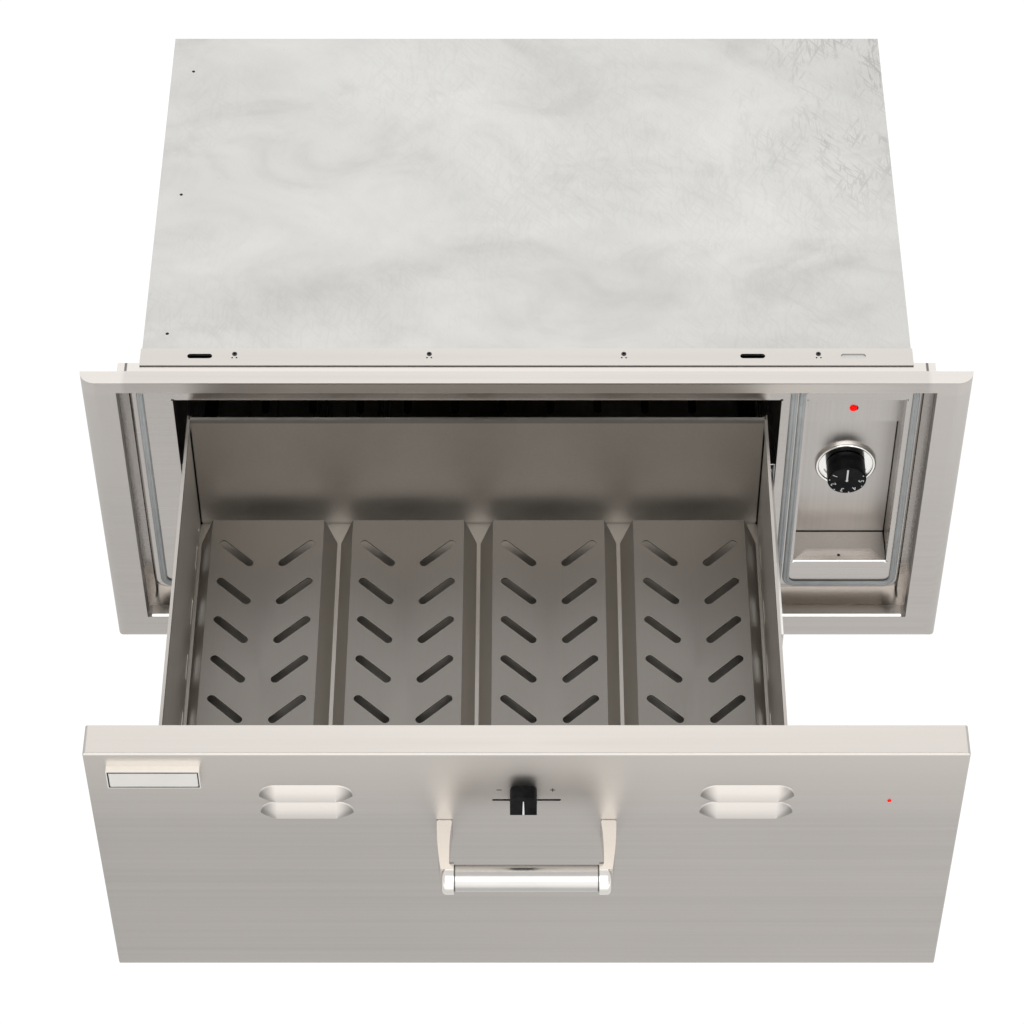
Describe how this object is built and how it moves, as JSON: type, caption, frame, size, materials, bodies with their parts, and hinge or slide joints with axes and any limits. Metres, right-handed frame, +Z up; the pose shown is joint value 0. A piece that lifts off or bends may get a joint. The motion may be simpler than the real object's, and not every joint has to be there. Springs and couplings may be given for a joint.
{
  "type": "built-in warming drawer",
  "caption": "Built-in stainless warming drawer with trim frame, gasketed recess, control pocket, heated liner, racked drawer on telescopic slides and insulated front",
  "frame": {"origin": "centre plane, at the back of the trim frame, level with the underside of the recess and cabinet", "axes": "+X to the right seen from the front, +Y into the cabinet, +Z up"},
  "size_m": [0.775, 0.9103, 0.359],
  "materials": {
    "brushed_steel": "fine brushed, satin",
    "bright_steel": "bright, zinc plated or bare",
    "cabinet_sheet": "mill finish, scuffed and clouded",
    "polished_chrome": "polished",
    "oven_steel": "heat darkened",
    "gasket_rubber": "moulded silicone, matt",
    "black_plastic": "moulded, matt",
    "black_knob": "moulded, satin",
    "red_lens": "clear red, glossy",
    "blanket_fibre": "felted ceramic fibre",
    "ceramic_body": "glazed ceramic",
    "brass_parts": "drawn, bare",
    "wire_cover": "braided sleeve over copper"
  },
  "bodies": {
    "root": {"trim_frame": "brushed_steel", "recess_tub": "brushed_steel", "mounting_collar": "brushed_steel", "drawer_gasket": "gasket_rubber", "control_gasket": "gasket_rubber", "outer_wrap": "cabinet_sheet", "base_pan": "cabinet_sheet", "rear_cover": "cabinet_sheet", "oven_liner": "oven_steel", "insulation_top": "blanket_fibre", "insulation_left": "blanket_fibre", "insulation_right": "blanket_fibre", "insulation_bottom": "blanket_fibre", "insulation_rear": "blanket_fibre", "control_pocket": "brushed_steel", "lamp_lens": "red_lens", "lamp_body": "black_plastic", "knob_bezel": "polished_chrome", "thermostat": "ceramic_body", "sensor_bulb": "brass_parts", "heating_element": "oven_steel", "element_supports": "bright_steel", "heat_shield": "bright_steel", "terminal_block": "black_plastic", "power_inlet": "black_plastic", "wire_harness": "wire_cover", "slide_rails": "bright_steel", "collar_rivets": "bright_steel", "cover_screws": "bright_steel"},
    "drawer": {"front_skin": "brushed_steel", "front_liner": "brushed_steel", "front_insulation": "blanket_fibre", "drawer_box": "brushed_steel", "drawer_back": "brushed_steel", "rack_1": "brushed_steel", "rack_2": "brushed_steel", "rack_3": "brushed_steel", "rack_4": "brushed_steel", "slide_inners": "bright_steel", "handle_tube": "polished_chrome", "handle_post_left": "polished_chrome", "handle_post_right": "polished_chrome", "handle_screws": "bright_steel", "badge_plate": "bright_steel", "front_window": "red_lens", "shutter_guides": "bright_steel", "box_rivets": "bright_steel"},
    "slide_left": {"slide_middle_left": "bright_steel", "slide_balls_left": "bright_steel"},
    "slide_right": {"slide_middle_right": "bright_steel", "slide_balls_right": "bright_steel"},
    "moisture_control": {"moisture_knob": "black_knob", "moisture_shutter": "bright_steel"},
    "temperature_control": {"thermostat_knob": "black_knob", "thermostat_shaft": "bright_steel"}
  },
  "joints": [
    {"name": "drawer_slide", "type": "slide", "parent": "root", "child": "drawer", "axis": [0, 1, 0], "range_m": [0, 0.384]},
    {"name": "slide_left_run", "type": "slide", "parent": "root", "child": "slide_left", "axis": [0, 1, 0], "range_m": [0, 0.192]},
    {"name": "slide_right_run", "type": "slide", "parent": "root", "child": "slide_right", "axis": [0, 1, 0], "range_m": [0, 0.192]},
    {"name": "moisture_slide", "type": "slide", "parent": "drawer", "child": "moisture_control", "axis": [1, 0, 0], "range_m": [-0.02, 0.025]},
    {"name": "temperature_turn", "type": "hinge", "parent": "root", "child": "temperature_control", "pos_m": [0.29195, 0.0431, 0.155], "axis": [0, 1, 0], "range_deg": [0, 285]}
  ],
  "couplings": [
    {"joint": "slide_left_run", "follows": "drawer_slide", "ratio": 0.5},
    {"joint": "slide_right_run", "follows": "drawer_slide", "ratio": 0.5}
  ]
}
